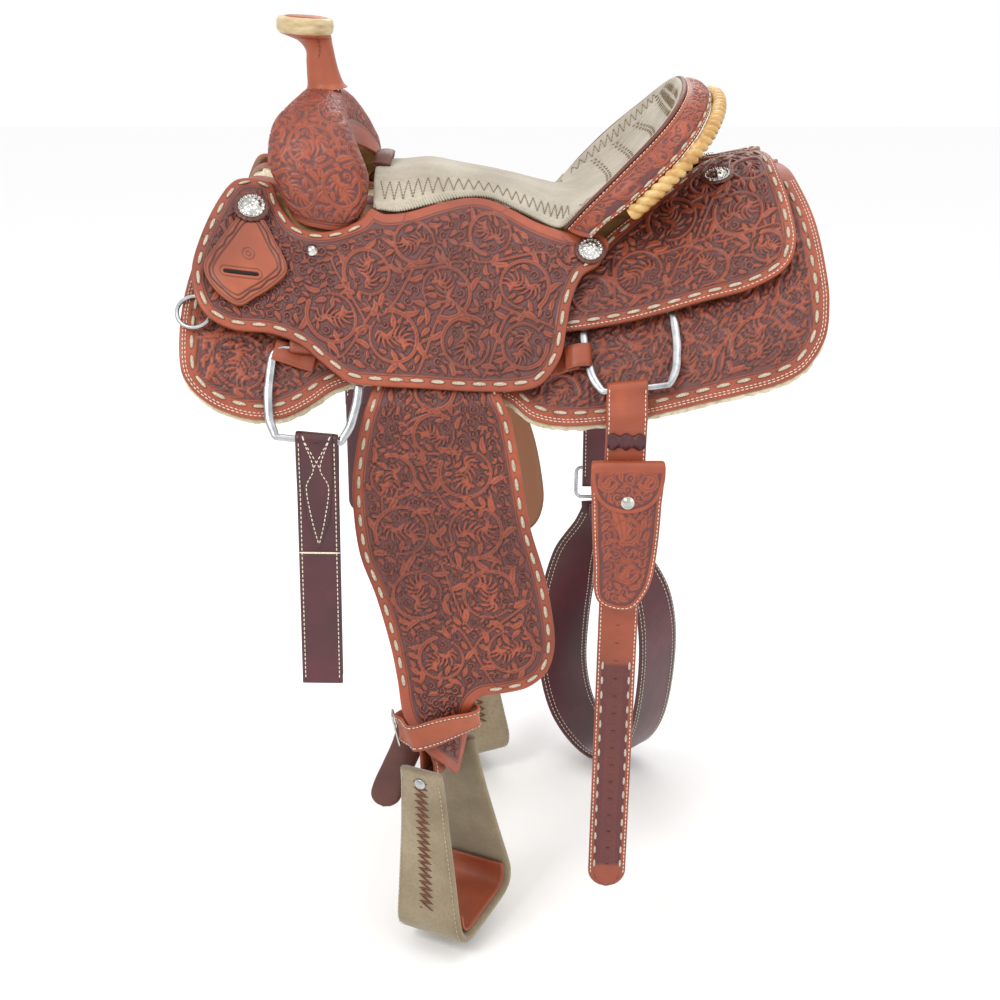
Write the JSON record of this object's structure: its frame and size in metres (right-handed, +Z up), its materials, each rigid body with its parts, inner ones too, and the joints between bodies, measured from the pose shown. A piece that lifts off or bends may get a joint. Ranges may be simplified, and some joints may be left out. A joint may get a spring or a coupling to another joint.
{
  "type": "roping saddle",
  "caption": "Western roping saddle with horn, padded seat, carved skirts and fenders, laced stirrups, rigging dees, latigo, flank cinch and a knife sheath.",
  "frame": {"origin": "on the mid-plane under the seat, between the two skirts, at the height where the bars of the tree bear on the horse's back", "axes": "+Z up, -X towards the horn and the horse's head, +X towards the cantle, -Y is the near (left) side, +Y the off side"},
  "size_m": [0.7102, 0.6005, 1.0563],
  "materials": {
    "tree_wood": "sealed rawhide-covered wood",
    "steel": "satin stainless",
    "skirting_leather": "floral carved, stained background, oiled",
    "rawhide": "laced and twisted rawhide, varnished",
    "roughout": "pale suede side out",
    "stirrup_cover": "grey-tan leather covering, laced",
    "wool_fleece": "wool pile",
    "silver_fittings": "engraved, polished",
    "latigo_leather": "burgundy latigo leather, waxed"
  },
  "bodies": {
    "saddle": {"tree_bar_near": "tree_wood", "tree_bar_off": "tree_wood", "tree_fork": "tree_wood", "cantle_core": "tree_wood", "horn_core": "steel", "ground_seat": "steel", "horn_wrap": "skirting_leather", "swell_cover": "skirting_leather", "cantle_roll": "skirting_leather", "cantle_back": "skirting_leather", "latigo_keeper": "skirting_leather", "horn_cap": "skirting_leather", "seat_jockey_near": "skirting_leather", "seat_jockey_off": "skirting_leather", "rear_jockey_near": "skirting_leather", "rear_jockey_off": "skirting_leather", "skirt_near": "skirting_leather", "skirt_off": "skirting_leather", "front_rig_near": "skirting_leather", "front_rig_off": "skirting_leather", "rear_rig_near": "skirting_leather", "rear_rig_off": "skirting_leather", "horn_binding": "rawhide", "cantle_binding": "rawhide", "seat_pad": "roughout", "fleece_near": "wool_fleece", "fleece_off": "wool_fleece", "concho_front_near": "silver_fittings", "concho_front_off": "silver_fittings", "concho_mid_near": "silver_fittings", "concho_mid_off": "silver_fittings", "concho_rear_near": "silver_fittings", "concho_rear_off": "silver_fittings"},
    "fender_near": {"fender_near": "skirting_leather", "stirrup_leather_near": "skirting_leather", "hobble_strap_near": "skirting_leather"},
    "fender_off": {"fender_off": "skirting_leather", "stirrup_leather_off": "skirting_leather", "hobble_strap_off": "skirting_leather"},
    "stirrup_near": {"stirrup_near": "stirrup_cover", "stirrup_tread_near": "skirting_leather", "stirrup_bolt_near": "steel"},
    "stirrup_off": {"stirrup_off": "stirrup_cover", "stirrup_tread_off": "skirting_leather", "stirrup_bolt_off": "steel"},
    "front_dee_near": {"front_dee_near": "steel"},
    "front_dee_off": {"front_dee_off": "steel"},
    "rear_dee_near": {"rear_dee_near": "steel"},
    "rear_dee_off": {"rear_dee_off": "steel"},
    "collar_dee_near": {"collar_dee_near": "steel"},
    "collar_dee_off": {"collar_dee_off": "steel"},
    "latigo": {"latigo": "latigo_leather"},
    "off_billet": {"off_billet": "latigo_leather"},
    "rear_billet_near": {"rear_billet_near": "skirting_leather", "sheath_pouch": "skirting_leather"},
    "sheath_flap": {"sheath_flap": "skirting_leather", "sheath_snap": "silver_fittings"},
    "rear_billet_off": {"rear_billet_off": "latigo_leather"},
    "flank_cinch": {"flank_cinch": "latigo_leather", "cinch_buckle": "steel"}
  },
  "joints": [
    {"name": "fender_swing_near", "type": "hinge", "parent": "saddle", "child": "fender_near", "pos_m": [-0.06, -0.16, -0.004], "axis": [0, 1, 0], "range_deg": [-2, 3]},
    {"name": "stirrup_swing_near", "type": "hinge", "parent": "fender_near", "child": "stirrup_near", "pos_m": [-0.071, -0.244, -0.552], "axis": [0.4623, 0.8695, 0.1737], "range_deg": [-20, 35]},
    {"name": "front_dee_lift_near", "type": "hinge", "parent": "saddle", "child": "front_dee_near", "pos_m": [-0.197, -0.22485, -0.06276], "axis": [-0.9955, 0, 0.0944], "range_deg": [0, 6]},
    {"name": "rear_dee_lift_near", "type": "hinge", "parent": "saddle", "child": "rear_dee_near", "pos_m": [0.139, -0.18377, -0.03121], "axis": [-0.9939, 0, -0.1099], "range_deg": [0, 10]},
    {"name": "collar_dee_lift_near", "type": "hinge", "parent": "saddle", "child": "collar_dee_near", "pos_m": [-0.325, -0.20385, -0.00867], "axis": [-0.9631, 0.1664, 0.2115], "range_deg": [0, 12]},
    {"name": "fender_swing_off", "type": "hinge", "parent": "saddle", "child": "fender_off", "pos_m": [-0.06, 0.16, -0.004], "axis": [0, 1, 0], "range_deg": [-2, 3]},
    {"name": "stirrup_swing_off", "type": "hinge", "parent": "fender_off", "child": "stirrup_off", "pos_m": [-0.071, 0.244, -0.552], "axis": [0.4623, -0.8695, 0.1737], "range_deg": [-20, 11]},
    {"name": "front_dee_lift_off", "type": "hinge", "parent": "saddle", "child": "front_dee_off", "pos_m": [-0.197, 0.22485, -0.06276], "axis": [0.9955, 0, -0.0944], "range_deg": [0, 6]},
    {"name": "rear_dee_lift_off", "type": "hinge", "parent": "saddle", "child": "rear_dee_off", "pos_m": [0.139, 0.18377, -0.03121], "axis": [0.9939, 0, 0.1099], "range_deg": [0, 10]},
    {"name": "collar_dee_lift_off", "type": "hinge", "parent": "saddle", "child": "collar_dee_off", "pos_m": [-0.325, 0.20385, -0.00867], "axis": [0.9631, 0.1664, -0.2115], "range_deg": [0, 12]},
    {"name": "latigo_swing", "type": "hinge", "parent": "front_dee_near", "child": "latigo", "pos_m": [-0.1955, -0.27765, -0.14821], "axis": [-1, 0, 0], "range_deg": [0, 25]},
    {"name": "off_billet_swing", "type": "hinge", "parent": "front_dee_off", "child": "off_billet", "pos_m": [-0.1955, 0.27765, -0.14821], "axis": [1, 0, 0], "range_deg": [0, 25]},
    {"name": "rear_billet_swing_near", "type": "hinge", "parent": "rear_dee_near", "child": "rear_billet_near", "pos_m": [0.137, -0.24515, -0.10038], "axis": [-1, 0, 0], "range_deg": [0, 25]},
    {"name": "rear_billet_swing_off", "type": "hinge", "parent": "rear_dee_off", "child": "rear_billet_off", "pos_m": [0.137, 0.24515, -0.10038], "axis": [1, 0, 0], "range_deg": [0, 25]},
    {"name": "flank_cinch_swing", "type": "hinge", "parent": "rear_billet_off", "child": "flank_cinch", "pos_m": [0.137, 0.25815, -0.356], "axis": [1, 0, 0], "range_deg": [-8, 20]},
    {"name": "sheath_flap_lift", "type": "hinge", "parent": "rear_billet_near", "child": "sheath_flap", "pos_m": [0.138, -0.26475, -0.18], "axis": [-1, 0, 0], "range_deg": [0, 45]}
  ]
}
